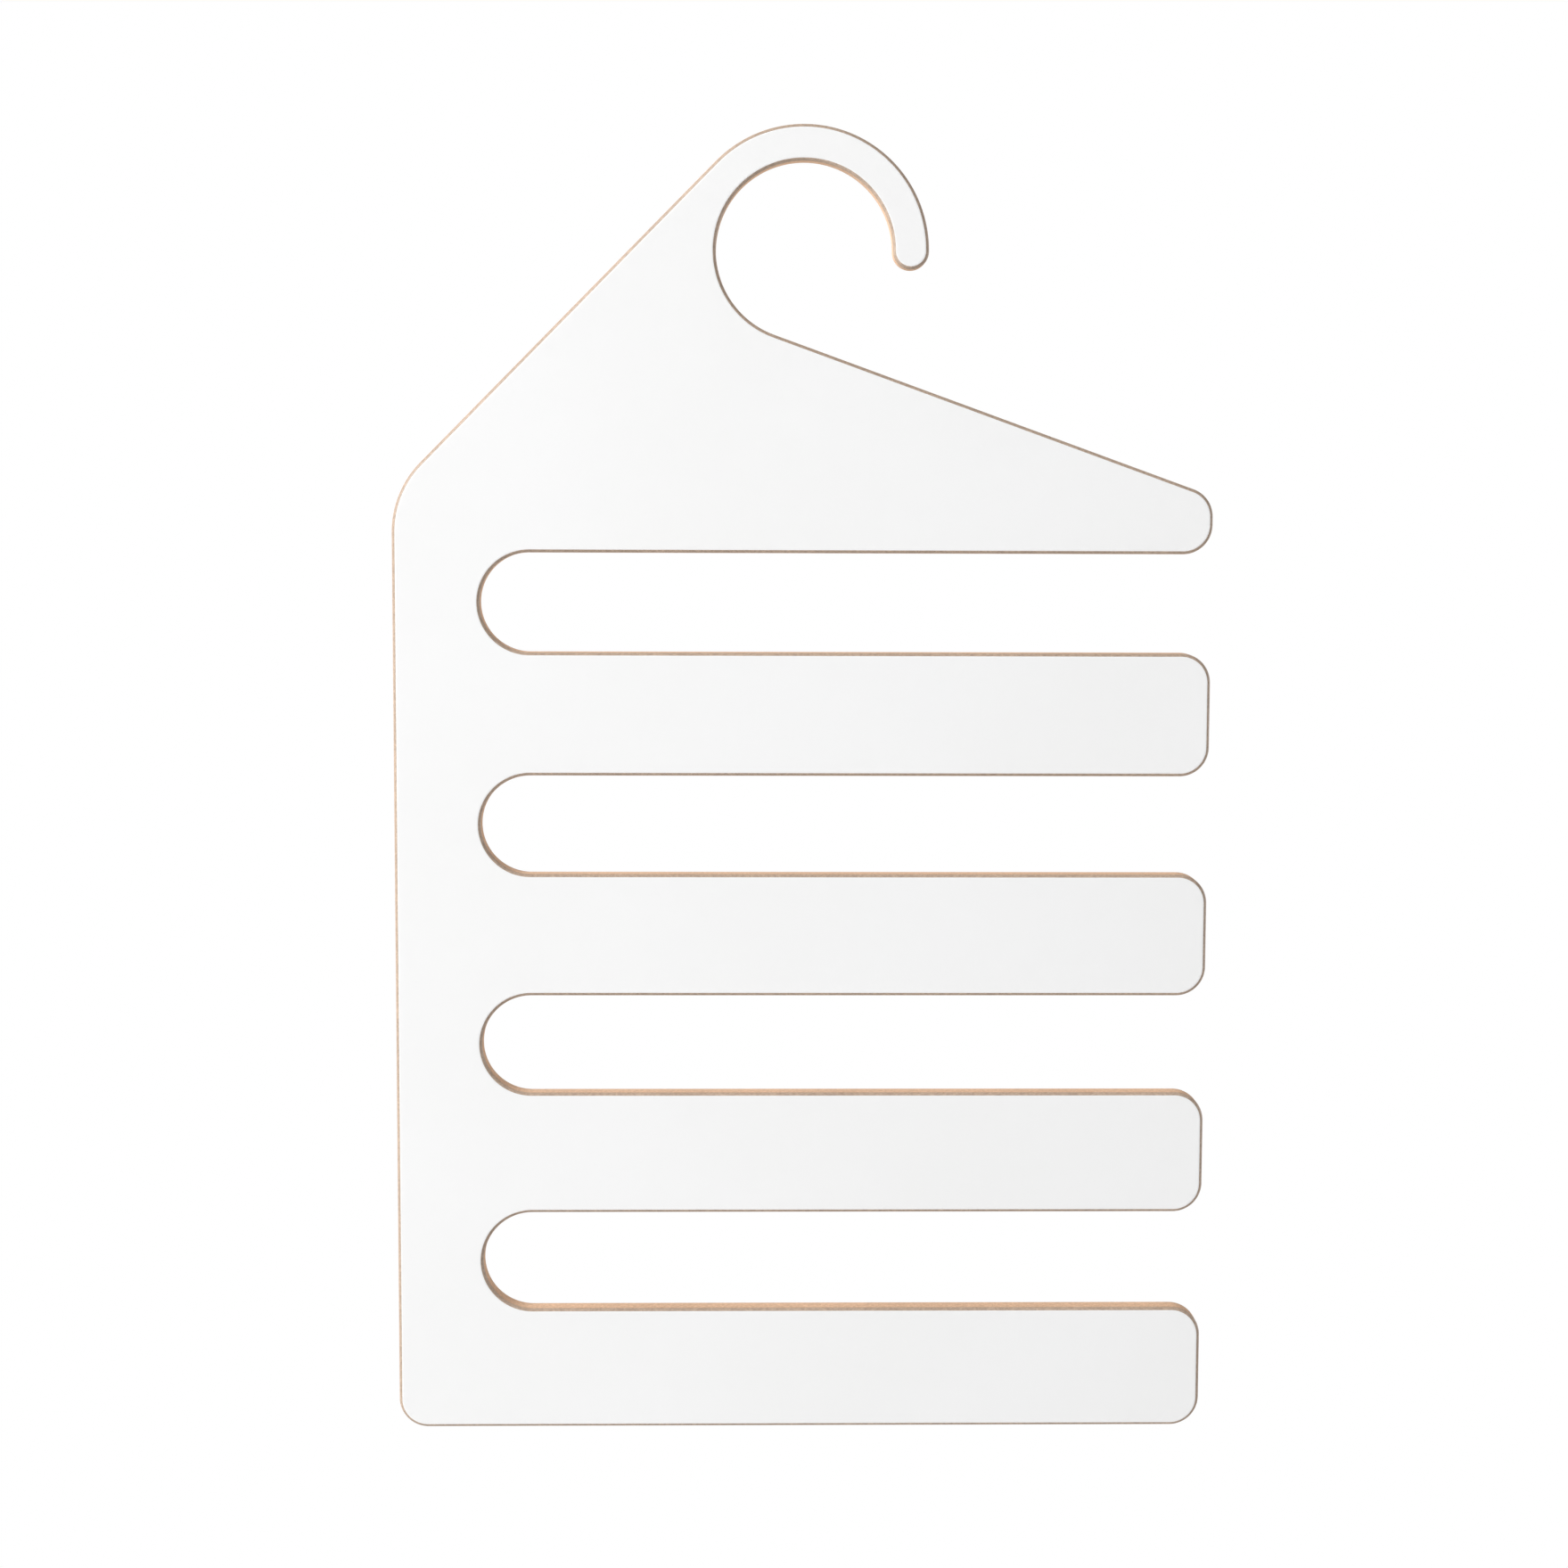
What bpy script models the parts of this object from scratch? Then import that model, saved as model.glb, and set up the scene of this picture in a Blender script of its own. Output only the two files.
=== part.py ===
"""Trouser rack: a flat faced board that hangs on a wardrobe rail by its own hook.

Metres, +Z up, +X towards the open ends of the slots, front face towards -Y.
The origin is where the rail bears, at the top of the hook's eye, halfway through the board.
Outlines are drawn around the eye's centre, with x to the right and z up.
"""

import math

import bpy

# Board, as a stack of core, glue and facing sheets
BOARD_WIDTH = 0.400
CORE_THICKNESS = 0.0112
GLUE_LINE = 0.0001
FACING_THICKNESS = 0.0003

# Edges
CORNER_RADIUS = 0.0144
ARRIS_RADIUS = 0.0015

# Hook, a ring centred across the board and open below on the right
EYE_RADIUS = 0.0427
LIMB_WIDTH = 0.0176

# Shoulders, which run down from the hook to the board's two sides
LEFT_SHOULDER_SLOPE = math.radians(45.3)
RIGHT_SHOULDER_SLOPE = math.radians(19.8)
LEFT_SHOULDER_RADIUS = 0.0485
TOP_BEAM_TIP_LAND = 0.0037

# Slots, open on the right, and the bars that the trousers hang over
SPINE_WIDTH = 0.0425
SLOT_HEIGHT = 0.0485
BAR_HEIGHT = 0.0605
SLOT_COUNT = 4

# Smoothness of the round stretches
CHORD_ERROR = 0.00006
ARRIS_RINGS = 2

# Directions on the outline, counter-clockwise from +X
RIGHT = 0.0
UP = math.pi / 2
LEFT = math.pi
DOWN = -math.pi / 2

# Finishes, as base colour and roughness
RAW_MDF = ((0.60, 0.41, 0.27), 0.85)
WHITE_MELAMINE = ((0.86, 0.86, 0.86), 0.40)

# Sides and heights that the outline is built from, worked out from the sizes above
right_side = BOARD_WIDTH / 2
left_side = -BOARD_WIDTH / 2
hook_radius = EYE_RADIUS + LIMB_WIDTH
tip_centre_x = right_side - CORNER_RADIUS
slot_end_radius = SLOT_HEIGHT / 2
slot_end_x = left_side + SPINE_WIDTH + slot_end_radius
slot_pitch = SLOT_HEIGHT + BAR_HEIGHT


def arc(centre_x, centre_z, radius, start, end):
    """Points on an arc, both ends included, close enough for the chord error."""
    step = 2 * math.acos(1 - CHORD_ERROR / radius)
    count = math.ceil(abs(end - start) / step)
    angles = [start + (end - start) * i / count for i in range(count + 1)]
    return [(centre_x + radius * math.cos(a), centre_z + radius * math.sin(a)) for a in angles]


def top_beam_tip_z():
    """Height of the corner centre that the right shoulder runs out to."""
    drop = (EYE_RADIUS + CORNER_RADIUS) / math.cos(RIGHT_SHOULDER_SLOPE)
    return -drop - tip_centre_x * math.tan(RIGHT_SHOULDER_SLOPE)


def left_shoulder_centre():
    """Centre of the arc between the left shoulder and the board's left side."""
    x = left_side + LEFT_SHOULDER_RADIUS
    rise = (hook_radius - LEFT_SHOULDER_RADIUS) / math.cos(LEFT_SHOULDER_SLOPE)
    return x, rise + x * math.tan(LEFT_SHOULDER_SLOPE)


def tip_corner(centre_z, start, end):
    """One rounded corner at the right-hand tip of a bar."""
    return arc(tip_centre_x, centre_z, CORNER_RADIUS, start, end)


def slot_outline(ceiling_z):
    """The slot's round end, then the two tip corners of the bar under the slot."""
    floor_z = ceiling_z - SLOT_HEIGHT
    bar_bottom_z = floor_z - BAR_HEIGHT
    points = arc(slot_end_x, ceiling_z - slot_end_radius, slot_end_radius, UP, UP + math.pi)
    points += tip_corner(floor_z - CORNER_RADIUS, UP, RIGHT)
    points += tip_corner(bar_bottom_z + CORNER_RADIUS, RIGHT, DOWN)
    return points


def board_outline():
    """The whole outline, from the hook's tip round the eye, down the right and up the left."""
    points = arc(0, 0, EYE_RADIUS, RIGHT, 3 * UP - RIGHT_SHOULDER_SLOPE)

    upper_z = top_beam_tip_z()
    lower_z = upper_z - TOP_BEAM_TIP_LAND
    points += tip_corner(upper_z, UP - RIGHT_SHOULDER_SLOPE, RIGHT)
    points += tip_corner(lower_z, RIGHT, DOWN)

    first_ceiling_z = lower_z - CORNER_RADIUS
    for slot in range(SLOT_COUNT):
        points += slot_outline(first_ceiling_z - slot * slot_pitch)

    heel_z = first_ceiling_z - SLOT_COUNT * slot_pitch + CORNER_RADIUS
    points += arc(left_side + CORNER_RADIUS, heel_z, CORNER_RADIUS, DOWN, -LEFT)
    shoulder_x, shoulder_z = left_shoulder_centre()
    left_normal = UP + LEFT_SHOULDER_SLOPE
    points += arc(shoulder_x, shoulder_z, LEFT_SHOULDER_RADIUS, LEFT, left_normal)

    points += arc(0, 0, hook_radius, left_normal, RIGHT)
    hook_tip = arc(EYE_RADIUS + LIMB_WIDTH / 2, 0, LIMB_WIDTH / 2, RIGHT, -LEFT)
    return points + hook_tip[1:-1]


def remove_all_objects():
    for item in list(bpy.data.objects):
        bpy.data.objects.remove(item, do_unlink=True)


def finish(name, colour_and_roughness):
    """A plain Principled material in the piece's own colour."""
    colour, roughness = colour_and_roughness
    material = bpy.data.materials.new(name)
    material.use_nodes = True
    shader = material.node_tree.nodes["Principled BSDF"]
    shader.inputs["Base Color"].default_value = (*colour, 1)
    shader.inputs["Roughness"].default_value = roughness
    shader.inputs["Metallic"].default_value = 0
    material.diffuse_color = (*colour, 1)
    return material


def cut_sheet(name, thickness, inset, arris, centre_y, material):
    """A sheet cut to the board's outline, drawn in by the inset, its rim rounded by the arris."""
    curve = bpy.data.curves.new(name, "CURVE")
    curve.dimensions = "2D"
    curve.fill_mode = "BOTH"
    curve.extrude = thickness / 2 - arris
    curve.bevel_depth = arris
    curve.bevel_resolution = ARRIS_RINGS
    curve.offset = -inset - arris
    spline = curve.splines.new("POLY")
    outline = board_outline()
    spline.points.add(len(outline) - 1)
    for point, (x, z) in zip(spline.points, outline):
        point.co = (x, z, 0, 1)
    spline.use_cyclic_u = True
    spline.use_smooth = True
    curve.materials.append(material)
    sheet = bpy.data.objects.new(name, curve)
    sheet.rotation_euler = (math.pi / 2, 0, 0)
    sheet.location = (0, centre_y, -EYE_RADIUS)
    return sheet


def mdf_core():
    """The routed fibreboard panel, with its arris on both sides."""
    material = finish("core_raw_mdf", RAW_MDF)
    return cut_sheet("mdf_core", CORE_THICKNESS, 0, ARRIS_RADIUS, 0, material)


def facing(name, side):
    """A white facing sheet, which stops where the core's arris starts."""
    material = finish(name + "_white_melamine", WHITE_MELAMINE)
    centre_y = side * (CORE_THICKNESS / 2 + GLUE_LINE + FACING_THICKNESS / 2)
    return cut_sheet(name, FACING_THICKNESS, ARRIS_RADIUS, 0, centre_y, material)


def main():
    remove_all_objects()
    rack = bpy.data.collections.new("trouser_rack")
    bpy.context.scene.collection.children.link(rack)
    for sheet in (mdf_core(), facing("front_facing", -1), facing("back_facing", 1)):
        rack.objects.link(sheet)


main()
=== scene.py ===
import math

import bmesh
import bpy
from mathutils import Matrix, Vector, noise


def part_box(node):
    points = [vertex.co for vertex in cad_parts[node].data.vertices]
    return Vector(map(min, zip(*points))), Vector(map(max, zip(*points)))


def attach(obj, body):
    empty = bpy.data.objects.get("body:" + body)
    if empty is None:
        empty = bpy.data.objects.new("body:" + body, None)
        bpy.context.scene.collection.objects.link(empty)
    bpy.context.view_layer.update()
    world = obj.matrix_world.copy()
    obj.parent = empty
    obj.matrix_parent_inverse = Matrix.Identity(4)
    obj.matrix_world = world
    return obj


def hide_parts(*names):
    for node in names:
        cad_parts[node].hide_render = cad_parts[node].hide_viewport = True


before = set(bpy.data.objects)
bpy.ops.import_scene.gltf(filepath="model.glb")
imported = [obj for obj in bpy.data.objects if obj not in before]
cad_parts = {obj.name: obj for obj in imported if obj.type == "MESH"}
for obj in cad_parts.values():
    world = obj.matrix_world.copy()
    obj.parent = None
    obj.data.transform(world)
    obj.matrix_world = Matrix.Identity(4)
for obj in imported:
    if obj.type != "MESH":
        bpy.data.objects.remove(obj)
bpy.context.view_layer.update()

# Looks of the trouser rack: the routed fibreboard core, its two white facings, and a plain studio.
# Metres, in the frame of the part: the front face looks to -Y, the hook is at the top.
# Outlines are drawn around the centre of the hook's eye, with x to the right and z up.

# The board's overall sizes, read from the frame. The hook's top is one limb above the origin
core_low, core_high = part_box("mdf_core")
BOARD_WIDTH = core_high.x - core_low.x
CORE_THICKNESS = core_high.y - core_low.y
LIMB_WIDTH = core_high.z
FRONT_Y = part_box("front_facing")[0].y
BACK_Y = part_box("back_facing")[1].y

# Driving sizes of the outline, as in the part
CORNER_RADIUS = 0.0144
ARRIS_INSET = 0.0015
EYE_RADIUS = 0.0427
LEFT_SHOULDER_SLOPE = math.radians(45.3)
RIGHT_SHOULDER_SLOPE = math.radians(19.8)
LEFT_SHOULDER_RADIUS = 0.0485
TOP_BEAM_TIP_LAND = 0.0037
SPINE_WIDTH = 0.0425
SLOT_HEIGHT = 0.0485
BAR_HEIGHT = 0.0605
SLOT_COUNT = 4

# The routed edge. The cutter's round meets the film where the white stops
FILM = 0.0001
LEVEL_STRIP = 0.0002
ROUND_OVER = ARRIS_INSET + FILM + math.sqrt(2 * ARRIS_INSET * FILM)
FILM_ANGLE = math.acos((ROUND_OVER - FILM) / ROUND_OVER)
CORE_ROUND_STEPS = 9
FILM_ROUND_STEPS = 3
WALL_STEPS = 3
SHARP_ANGLE = math.radians(40)

# Fineness of the outline, and how far hand sanding has worn the arris out of true
CHORD_ERROR = 0.000005
STRAIGHT_STEP = 0.004
SANDING_DEPTH = 0.00006
SANDING_LENGTH = 0.018

# Directions on the outline, counter-clockwise from +X. Down again, by way of LEFT, is 3 * UP
RIGHT = 0.0
UP = math.pi / 2
LEFT = math.pi
DOWN = -math.pi / 2

# Colours, linear
MELAMINE_WHITE = (0.860, 0.860, 0.860)
MELAMINE_SHADE = (0.852, 0.852, 0.850)
SPECK_GREY = (0.52, 0.50, 0.47)
MDF_HEART = (0.675, 0.434, 0.276)
MDF_SKIN = (0.430, 0.325, 0.248)
MDF_FLECK = (0.300, 0.180, 0.110)
FLOOR_WHITE = (0.80, 0.80, 0.80)

# Each noise below has a size along x, y and z, a detail, which is the number of finer layers on
# it, and a span, which is the part of its values that is spread over the whole effect.
# These two say how strong each finer layer is against the one before
PLAIN_LAYERS = 0.5
STRONG_LAYERS = 0.6

# The fibreboard, fibres lying flat between the faces, with darker skins and a ragged limit
FIBRE_SIZE = (0.0007, 0.00018, 0.0007)
FIBRE_DETAIL = 4.0
FIBRE_SPAN = (0.25, 0.75)
FIBRE_TONES = (0.76, 1.24)
FIBRE_DEPTH = 0.00002
CLUMP_SIZE = (0.0016, 0.0010, 0.0016)
CLUMP_DETAIL = 3.0
CLUMP_SPAN = (0.3, 0.7)
CLUMP_TONES = (0.86, 1.14)
FLECK_SIZE = (0.0012, 0.0003, 0.0012)
FLECK_DETAIL = 1.0
FLECK_SPAN = (0.68, 0.76)
FLECK_SHARE = 0.6
DRIFT_SIZE = (0.045, 0.045, 0.045)
DRIFT_DETAIL = 1.0
DRIFT_SPAN = (0.3, 0.7)
DRIFT_TONES = (0.96, 1.04)
SKIN_DEPTH = 0.0022
SKIN_FULL = 0.0008
SKIN_RAGGED = 0.0002
HEART_ROUGHNESS = 0.86
SKIN_ROUGHNESS = 0.46
CUTTER_MARK = 0.0012
CUTTER_MARK_DEPTH = 0.00001

# The melamine film. A speck's radii, of its core and its rim, are shares of the spacing
PEARL_SIZE = (0.0005, 0.0005, 0.0005)
PEARL_DETAIL = 1.0
PEARL_DEPTH = 0.000004
SWELL_SIZE = (0.11, 0.11, 0.11)
SWELL_DETAIL = 0.0
SWELL_SPAN = (0.3, 0.7)
SWELL_DEPTH = 0.00004
SMEAR_SIZE = (0.04, 0.04, 0.015)
SMEAR_DETAIL = 3.0
SMEAR_SPAN = (0.35, 0.70)
MELAMINE_ROUGHNESS = (0.36, 0.46)
SPECK_SPACING = (0.02, 0.02, 0.02)
SPECK_RADII = (0.012, 0.030)
SPECK_SHARE = 0.04
SPECK_STRENGTH = 0.55

# The floor, which fades into the walls between two distances from under the rack.
# The rack hangs from a rail at RAIL_HEIGHT above it
RAIL_HEIGHT = 1.6
FLOOR_RADIUS = 6.0
FLOOR_SIDES = 96
FLOOR_ROUGHNESS = 0.9
FLOOR_GLOSS = 0.2
FLOOR_FADE = (1.2, 2.2)

# The room: its light on the rack, the tone of its walls, and the white backdrop behind the rack,
# which is full up to the first angle from +Y and gone at the second
AMBIENT = 0.32
WALL_TONE = 0.80
BACKDROP_TONE = 1.0
BACKDROP_FULL = math.radians(28)
BACKDROP_END = math.radians(45)

# Soft square lamps: the key from the left, in front and above, a weak fill from the right,
# and one behind for the back face
LAMP_AIM = Vector((0, 0, -0.3))
LAMP_DISTANCE = 5.0
LAMP_SIZE = 2.5
KEY_DIRECTION = Vector((-0.76, -0.47, 0.45))
KEY_LEVEL = 1.281
FILL_DIRECTION = Vector((0.93, 0.30, 0.0))
FILL_LEVEL = 0.27
REAR_DIRECTION = Vector((-0.25, 0.95, 0.15))
REAR_LEVEL = 0.45

# The camera, fitted to the edges of the board in the photograph
CAMERA_PLACE = (-0.0377, -1.4573, -0.1612)
CAMERA_TURN = (math.radians(84.493), math.radians(-0.187), math.radians(-1.115))
CAMERA_LENS = 68.27

# Places of the sockets of Blender's colour Mix node, whose names stand on it more than once
MIX_SHARE = 0
MIX_FIRST = 6
MIX_SECOND = 7
MIX_RESULT = 2

# Sides and centres that the outline is built from, worked out from the sizes above
right_side = BOARD_WIDTH / 2
left_side = -BOARD_WIDTH / 2
hook_radius = EYE_RADIUS + LIMB_WIDTH
tip_centre_x = right_side - CORNER_RADIUS
slot_end_radius = SLOT_HEIGHT / 2
slot_end_x = left_side + SPINE_WIDTH + slot_end_radius
slot_pitch = SLOT_HEIGHT + BAR_HEIGHT


def arc(centre_x, centre_z, radius, start, end):
    """Places on an arc, each with the outward normal of the board there."""
    step = 2 * math.acos(1 - CHORD_ERROR / radius)
    count = math.ceil(abs(end - start) / step)
    side = -1 if end > start else 1
    places = []
    for i in range(count + 1):
        a = start + (end - start) * i / count
        c, s = math.cos(a), math.sin(a)
        places.append((centre_x + radius * c, centre_z + radius * s, side * c, side * s))
    return places


def tip_corner(centre_z, start, end):
    """One rounded corner at the right-hand tip of a bar."""
    return arc(tip_centre_x, centre_z, CORNER_RADIUS, start, end)


def slot_arcs(ceiling_z):
    """The round end of a slot and the two tip corners of the bar under it."""
    floor_z = ceiling_z - SLOT_HEIGHT
    bar_bottom_z = floor_z - BAR_HEIGHT
    return [
        arc(slot_end_x, ceiling_z - slot_end_radius, slot_end_radius, UP, UP + math.pi),
        tip_corner(floor_z - CORNER_RADIUS, UP, RIGHT),
        tip_corner(bar_bottom_z + CORNER_RADIUS, RIGHT, DOWN),
    ]


def outline_arcs():
    """Every arc of the outline in order; the straight stretches run between them."""
    drop = (EYE_RADIUS + CORNER_RADIUS) / math.cos(RIGHT_SHOULDER_SLOPE)
    upper_z = -drop - tip_centre_x * math.tan(RIGHT_SHOULDER_SLOPE)
    lower_z = upper_z - TOP_BEAM_TIP_LAND
    arcs = [
        arc(0, 0, EYE_RADIUS, RIGHT, 3 * UP - RIGHT_SHOULDER_SLOPE),
        tip_corner(upper_z, UP - RIGHT_SHOULDER_SLOPE, RIGHT),
        tip_corner(lower_z, RIGHT, DOWN),
    ]
    first_ceiling_z = lower_z - CORNER_RADIUS
    for slot in range(SLOT_COUNT):
        arcs += slot_arcs(first_ceiling_z - slot * slot_pitch)

    heel_z = first_ceiling_z - SLOT_COUNT * slot_pitch + CORNER_RADIUS
    shoulder_x = left_side + LEFT_SHOULDER_RADIUS
    rise = (hook_radius - LEFT_SHOULDER_RADIUS) / math.cos(LEFT_SHOULDER_SLOPE)
    shoulder_z = rise + shoulder_x * math.tan(LEFT_SHOULDER_SLOPE)
    left_normal = UP + LEFT_SHOULDER_SLOPE
    arcs.append(arc(left_side + CORNER_RADIUS, heel_z, CORNER_RADIUS, DOWN, -LEFT))
    arcs.append(arc(shoulder_x, shoulder_z, LEFT_SHOULDER_RADIUS, LEFT, left_normal))
    arcs.append(arc(0, 0, hook_radius, left_normal, RIGHT))
    hook_tip = arc(EYE_RADIUS + LIMB_WIDTH / 2, 0, LIMB_WIDTH / 2, RIGHT, -LEFT)
    arcs.append(hook_tip[1:-1])
    return arcs


def outline():
    """The closed outline as (x, z, normal x, normal z), the long straights divided evenly."""
    places = []
    arcs = outline_arcs()
    for this, following in zip(arcs, arcs[1:] + arcs[:1]):
        places += this
        start, end = this[-1], following[0]
        length = math.hypot(end[0] - start[0], end[1] - start[1])
        count = math.floor(length / STRAIGHT_STEP)
        for i in range(1, count):
            share = i / count
            x = start[0] + (end[0] - start[0]) * share
            z = start[1] + (end[1] - start[1]) * share
            places.append((x, z, start[2], start[3]))
    return places


def sanding(x, z):
    """How much further the arris is worn back at a place on the edge."""
    wave = noise.noise(Vector((x, 0, z)) / SANDING_LENGTH)
    return SANDING_DEPTH * max(0, wave)


def round_profile(first, last, steps):
    """Points (inset, depth) on the cutter's round between two angles from the face."""
    points = []
    for i in range(steps + 1):
        a = first + (last - first) * i / steps
        points.append((ROUND_OVER * (1 - math.sin(a)), ROUND_OVER * (1 - math.cos(a))))
    return points


def edge_runs(places):
    """How far along the edge each place lies, and at the end the length of the whole edge."""
    runs = [0.0]
    for here, following in zip(places, places[1:] + places[:1]):
        runs.append(runs[-1] + math.hypot(following[0] - here[0], following[1] - here[1]))
    return runs


def ring_of_vertices(body, places, inset, y, worn):
    """The outline drawn in by the inset, and by a share of the wear, at one depth."""
    row = []
    for x, z, nx, nz in places:
        back = inset + worn * sanding(x, z)
        row.append(body.verts.new((x - nx * back, y, z - nz * back - EYE_RADIUS)))
    return row


def loft(name, rings, places, material):
    """A closed body through rings of (inset, y, worn), with a flat cap at both ends.

    Its texture coordinates run along the edge and through the board, in metres.
    """
    body = bmesh.new()
    run_layer = body.loops.layers.uv.new("edge_run")
    runs = edge_runs(places)
    rows = [ring_of_vertices(body, places, *ring) for ring in rings]
    count = len(places)
    for j in range(len(rows) - 1):
        upper, lower = rows[j], rows[j + 1]
        for i in range(count):
            k = (i + 1) % count
            face = body.faces.new((upper[i], upper[k], lower[k], lower[i]))
            face.smooth = True
            corners = ((i, j), (i + 1, j), (i + 1, j + 1), (i, j + 1))
            for loop, (along, across) in zip(face.loops, corners):
                loop[run_layer].uv = (runs[along], rings[across][1])
    body.faces.new(list(reversed(rows[0])))
    body.faces.new(rows[-1])
    bmesh.ops.recalc_face_normals(body, faces=body.faces)

    mesh = bpy.data.meshes.new(name)
    body.to_mesh(mesh)
    body.free()
    mesh.materials.append(material)
    mesh.set_sharp_from_angle(angle=SHARP_ANGLE)
    piece = bpy.data.objects.new(name, mesh)
    bpy.context.scene.collection.objects.link(piece)
    return piece


class Nodes:
    """The nodes of a material or of the world, with short calls to add and feed them."""

    def __init__(self, owner):
        owner.use_nodes = True
        self.owner = owner
        self.nodes = owner.node_tree.nodes
        self.links = owner.node_tree.links

    def add(self, kind, settings=None, **inputs):
        """A node with its settings, whose inputs are values or other nodes' outputs."""
        node = self.nodes.new(kind)
        for key, value in (settings or {}).items():
            setattr(node, key, value)
        for key, value in inputs.items():
            self.feed(node, key.replace("_", " "), value)
        return node

    def feed(self, node, key, value):
        """Link an output to an input, or set the input to a value."""
        socket = node.inputs[key]
        if isinstance(value, bpy.types.NodeSocket):
            self.links.new(value, socket)
        else:
            socket.default_value = value

    def feed_colour(self, node, key, colour):
        """Link a colour output to an input, or set the input to an opaque colour."""
        linked = isinstance(colour, bpy.types.NodeSocket)
        self.feed(node, key, colour if linked else (*colour, 1))

    def place(self, sizes):
        """Object coordinates counted in sizes of a feature along each axis."""
        coordinates = self.add("ShaderNodeTexCoord").outputs["Object"]
        scale = [1 / size for size in sizes]
        return self.add("ShaderNodeMapping", Vector=coordinates, Scale=scale).outputs[0]

    def noise(self, sizes, detail, layers=PLAIN_LAYERS):
        """Cloudy values around a half, in clouds of the given sizes."""
        node = self.add(
            "ShaderNodeTexNoise",
            Vector=self.place(sizes), Scale=1.0, Detail=detail, Roughness=layers,
        )
        return node.outputs[0]

    def band(self, value, span, ends=(0.0, 1.0)):
        """The value moved from a span to the two ends, smoothly and held at both."""
        node = self.add(
            "ShaderNodeMapRange", {"interpolation_type": "SMOOTHSTEP"},
            Value=value, From_Min=span[0], From_Max=span[1], To_Min=ends[0], To_Max=ends[1],
        )
        return node.outputs[0]

    def blend(self, share, first, second):
        """A colour between two colours."""
        node = self.add("ShaderNodeMix", {"data_type": "RGBA"})
        self.feed(node, MIX_SHARE, share)
        self.feed_colour(node, MIX_FIRST, first)
        self.feed_colour(node, MIX_SECOND, second)
        return node.outputs[MIX_RESULT]

    def calculate(self, operation, first, second=0.0):
        """The result of one of the Math node's operations."""
        node = self.add("ShaderNodeMath", {"operation": operation})
        self.feed(node, 0, first)
        self.feed(node, 1, second)
        return node.outputs[0]

    def tint(self, colour, tone):
        """A colour made darker or paler by a factor."""
        node = self.add("ShaderNodeVectorMath", {"operation": "SCALE"}, Scale=tone)
        self.feed(node, 0, colour)
        return node.outputs[0]

    def bump(self, height, depth, under=None):
        """A normal bent by a relief of the given depth in metres, on top of another bump."""
        node = self.add("ShaderNodeBump", Height=height, Distance=depth, Strength=1.0)
        if under is not None:
            self.feed(node, "Normal", under)
        return node.outputs[0]


def new_material(name):
    """The nodes of a new material, and its Principled shader."""
    tree = Nodes(bpy.data.materials.new(name))
    return tree, tree.nodes["Principled BSDF"]


def skin_share(tree, clumps):
    """How far the fibreboard is skin: none in its heart, all by the faces, ragged between."""
    place = tree.add("ShaderNodeTexCoord").outputs["Object"]
    across = tree.add("ShaderNodeSeparateXYZ", Vector=place).outputs["Y"]
    from_middle = tree.calculate("ABSOLUTE", across)
    shift = tree.band(clumps, CLUMP_SPAN, (-SKIN_RAGGED, SKIN_RAGGED))
    ragged = tree.calculate("ADD", from_middle, shift)
    return tree.band(ragged, (BACK_Y - SKIN_DEPTH, BACK_Y - SKIN_FULL))


def fibreboard_colour(tree, fibres, clumps, skin):
    """Heart and skin, mottled by fibres, clumps and a slow drift, with a few dark flecks."""
    flecks = tree.noise(FLECK_SIZE, FLECK_DETAIL)
    drift = tree.noise(DRIFT_SIZE, DRIFT_DETAIL)
    tone = tree.band(fibres, FIBRE_SPAN, FIBRE_TONES)
    tone = tree.calculate("MULTIPLY", tone, tree.band(clumps, CLUMP_SPAN, CLUMP_TONES))
    tone = tree.calculate("MULTIPLY", tone, tree.band(drift, DRIFT_SPAN, DRIFT_TONES))
    colour = tree.tint(tree.blend(skin, MDF_HEART, MDF_SKIN), tone)
    return tree.blend(tree.band(flecks, FLECK_SPAN, (0.0, FLECK_SHARE)), colour, MDF_FLECK)


def fibreboard_relief(tree, fibres):
    """The fine chatter of the cutter along the edge, with the fibres on top."""
    run = tree.add("ShaderNodeUVMap", {"uv_map": "edge_run"}).outputs[0]
    scale = (1 / CUTTER_MARK, 1 / CORE_THICKNESS, 1)
    marks = tree.add("ShaderNodeMapping", Vector=run, Scale=scale).outputs[0]
    chatter = tree.add("ShaderNodeTexNoise", {"noise_dimensions": "2D"}, Vector=marks, Scale=1.0)
    return tree.bump(fibres, FIBRE_DEPTH, tree.bump(chatter.outputs[0], CUTTER_MARK_DEPTH))


def raw_mdf():
    """Bare routed fibreboard: pressed fibres along the board, denser and darker by the faces."""
    tree, shader = new_material("raw_mdf")
    fibres = tree.noise(FIBRE_SIZE, FIBRE_DETAIL, STRONG_LAYERS)
    clumps = tree.noise(CLUMP_SIZE, CLUMP_DETAIL, STRONG_LAYERS)
    skin = skin_share(tree, clumps)
    roughness = tree.band(skin, (0.0, 1.0), (HEART_ROUGHNESS, SKIN_ROUGHNESS))
    tree.feed(shader, "Base Color", fibreboard_colour(tree, fibres, clumps, skin))
    tree.feed(shader, "Roughness", roughness)
    tree.feed(shader, "Normal", fibreboard_relief(tree, fibres))
    return tree.owner


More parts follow.
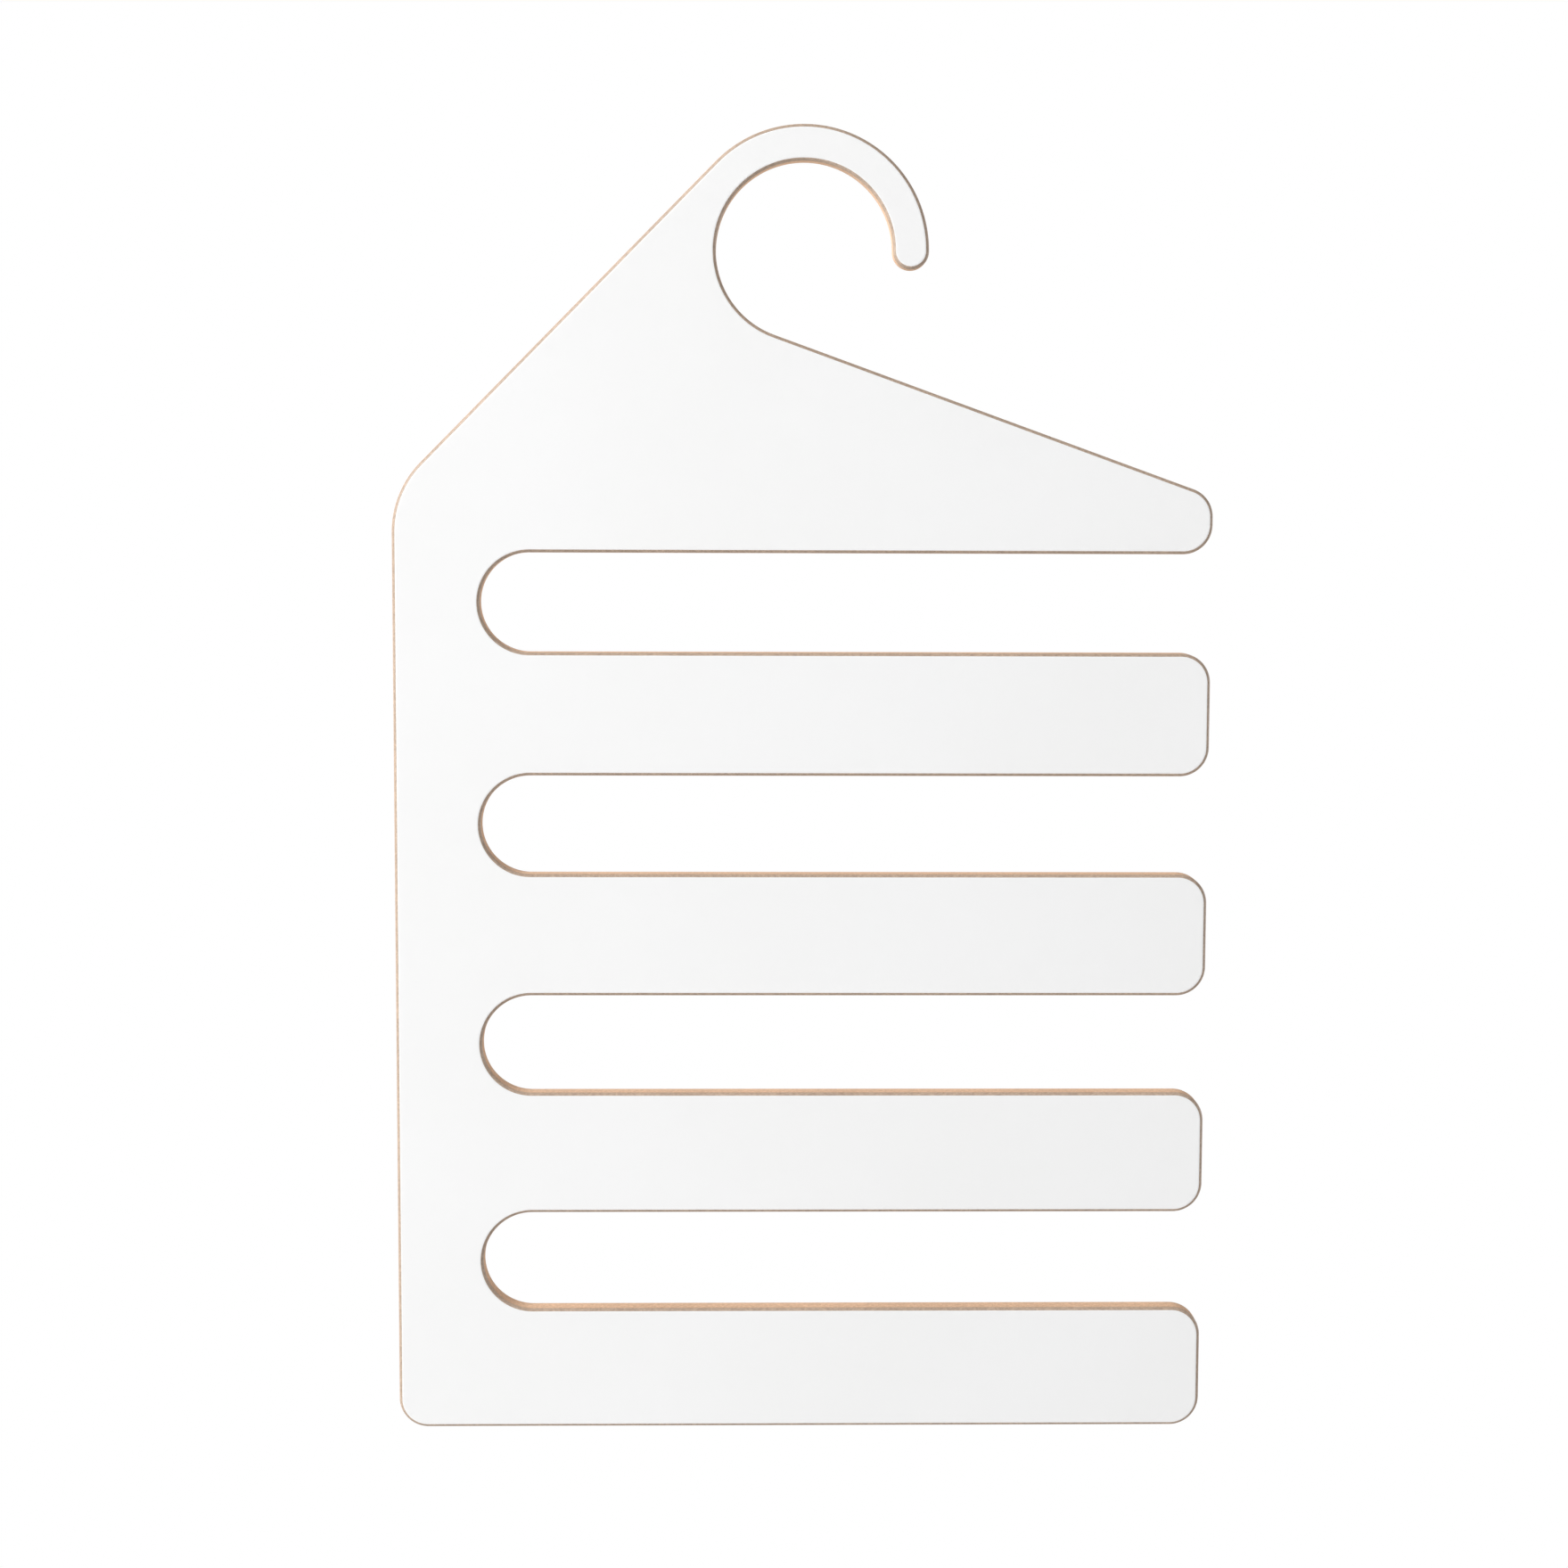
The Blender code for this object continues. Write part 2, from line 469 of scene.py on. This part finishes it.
def specks(tree):
    """How far each place is covered by a speck of dust; only a few cells hold one."""
    cells = tree.add("ShaderNodeTexVoronoi", Vector=tree.place(SPECK_SPACING), Scale=1.0)
    draw = tree.add("ShaderNodeSeparateColor", Color=cells.outputs["Color"]).outputs[0]
    chosen = tree.calculate("LESS_THAN", draw, SPECK_SHARE)
    dot = tree.band(cells.outputs["Distance"], SPECK_RADII, (1.0, 0.0))
    speck = tree.calculate("MULTIPLY", dot, chosen)
    return tree.calculate("MULTIPLY", speck, SPECK_STRENGTH)


def white_melamine():
    """Satin white facing: a fine pearl in the film, slight smears, and a few specks of dust."""
    tree, shader = new_material("white_melamine")
    pearl = tree.noise(PEARL_SIZE, PEARL_DETAIL)
    swell = tree.noise(SWELL_SIZE, SWELL_DETAIL)
    smear = tree.noise(SMEAR_SIZE, SMEAR_DETAIL, STRONG_LAYERS)
    white = tree.blend(tree.band(swell, SWELL_SPAN), MELAMINE_WHITE, MELAMINE_SHADE)
    tree.feed(shader, "Base Color", tree.blend(specks(tree), white, SPECK_GREY))
    tree.feed(shader, "Roughness", tree.band(smear, SMEAR_SPAN, MELAMINE_ROUGHNESS))
    tree.feed(shader, "Normal", tree.bump(pearl, PEARL_DEPTH, tree.bump(swell, SWELL_DEPTH)))
    return tree.owner


def core_piece(places):
    """The fibreboard with its worn round on both sides of the wall."""
    rounds = round_profile(FILM_ANGLE, UP, CORE_ROUND_STEPS)
    front_round = []
    for i, (inset, depth) in enumerate(rounds):
        front_round.append((inset, FRONT_Y + depth, 1 - i / CORE_ROUND_STEPS))
    back_round = []
    for inset, y, worn in reversed(front_round):
        back_round.append((inset, FRONT_Y + BACK_Y - y, worn))

    wall_depth = rounds[-1][1]
    wall = BACK_Y - FRONT_Y - 2 * wall_depth
    wall_rings = []
    for i in range(1, WALL_STEPS):
        wall_rings.append((0, FRONT_Y + wall_depth + wall * i / WALL_STEPS, 0))
    return loft("board_core", front_round + wall_rings + back_round, places, raw_mdf())


def film_piece(name, places, face_y, inward, material):
    """A facing film, whose rim is the start of the cutter's round.

    A narrow level strip inside the rim keeps the rim's smooth shading off the flat face.
    """
    rounds = [(ROUND_OVER + LEVEL_STRIP, 0)] + round_profile(0, FILM_ANGLE, FILM_ROUND_STEPS)
    rings = [(inset, face_y + inward * depth, 1) for inset, depth in rounds]
    return loft(name, rings, places, material)


def dress_rack():
    """The three pieces of the board, each in place of its plain solid."""
    places = outline()
    core = core_piece(places)
    white = white_melamine()
    front = film_piece("front_film", places, FRONT_Y, 1, white)
    back = film_piece("back_film", places, BACK_Y, -1, white)
    for piece, node, slot in (
        (core, "mdf_core", "raw_mdf"),
        (front, "front_facing", "white_melamine"),
        (back, "back_facing", "white_melamine"),
    ):
        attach(piece, "root")
        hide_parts(node)


def floor_white():
    """Matt pale floor that gives way to the room further out, for the camera's rays only."""
    tree, shader = new_material("floor_white")
    tree.feed_colour(shader, "Base Color", FLOOR_WHITE)
    tree.feed(shader, "Roughness", FLOOR_ROUGHNESS)
    tree.feed(shader, "Specular IOR Level", FLOOR_GLOSS)
    reach = tree.add("ShaderNodeVectorMath", {"operation": "LENGTH"})
    tree.feed(reach, 0, tree.add("ShaderNodeTexCoord").outputs["Object"])
    far = tree.band(reach.outputs["Value"], FLOOR_FADE)
    seen = tree.add("ShaderNodeLightPath").outputs["Is Camera Ray"]
    mix = tree.add("ShaderNodeMixShader", Fac=tree.calculate("MULTIPLY", far, seen))
    tree.feed(mix, 1, shader.outputs[0])
    tree.feed(mix, 2, tree.add("ShaderNodeBsdfTransparent").outputs[0])
    tree.feed(tree.nodes["Material Output"], "Surface", mix.outputs[0])
    return tree.owner


def make_floor():
    """A pale disc under the rack, which keeps its shadow and sends light up to it."""
    disc = bmesh.new()
    bmesh.ops.create_circle(disc, cap_ends=True, segments=FLOOR_SIDES, radius=FLOOR_RADIUS)
    mesh = bpy.data.meshes.new("floor")
    disc.to_mesh(mesh)
    disc.free()
    mesh.materials.append(floor_white())
    floor = bpy.data.objects.new("floor", mesh)
    floor.location.z = -RAIL_HEIGHT
    bpy.context.scene.collection.objects.link(floor)


def make_lamp(name, direction, level):
    """A square lamp, whose light on a face that looks straight at it is near the level.

    A face at some distance from a lamp gets its power over pi times the distance squared,
    and a white face sends one part in pi of that each way.
    """
    lamp = bpy.data.lights.new(name, "AREA")
    lamp.shape = "SQUARE"
    lamp.size = LAMP_SIZE
    lamp.energy = level * math.pi**2 * LAMP_DISTANCE**2
    holder = bpy.data.objects.new(name, lamp)
    holder.location = LAMP_AIM + direction.normalized() * LAMP_DISTANCE
    holder.rotation_euler = direction.to_track_quat("Z", "Y").to_euler()
    holder.visible_camera = False
    bpy.context.scene.collection.objects.link(holder)


def make_room():
    """Even light from all round. Seen or mirrored, the room is pale walls and a white backdrop."""
    world = bpy.data.worlds.new("room")
    bpy.context.scene.world = world
    tree = Nodes(world)
    direction = tree.add("ShaderNodeTexCoord").outputs["Generated"]
    backward = tree.add("ShaderNodeSeparateXYZ", Vector=direction).outputs["Y"]
    backdrop_span = (math.cos(BACKDROP_END), math.cos(BACKDROP_FULL))
    wall = tree.band(backward, backdrop_span, (WALL_TONE, BACKDROP_TONE))

    path = tree.add("ShaderNodeLightPath").outputs
    mirrored = tree.calculate("MAXIMUM", path["Is Glossy Ray"], path["Is Transmission Ray"])
    shown = tree.calculate("MAXIMUM", path["Is Camera Ray"], mirrored)
    level = tree.add("ShaderNodeMapRange", Value=shown, To_Min=AMBIENT, To_Max=wall)
    tree.feed_colour(tree.nodes["Background"], "Color", (1, 1, 1))
    tree.feed(tree.nodes["Background"], "Strength", level.outputs[0])


def make_camera():
    """The camera at the photograph's viewing angle, and plain colours."""
    camera = bpy.data.objects.new("camera", bpy.data.cameras.new("camera"))
    camera.data.lens = CAMERA_LENS
    camera.location = CAMERA_PLACE
    camera.rotation_euler = CAMERA_TURN
    bpy.context.scene.collection.objects.link(camera)
    bpy.context.scene.camera = camera
    bpy.context.scene.view_settings.view_transform = "Standard"


make_camera()
dress_rack()
make_floor()
make_room()
make_lamp("key", KEY_DIRECTION, KEY_LEVEL)
make_lamp("fill", FILL_DIRECTION, FILL_LEVEL)
make_lamp("rear", REAR_DIRECTION, REAR_LEVEL)
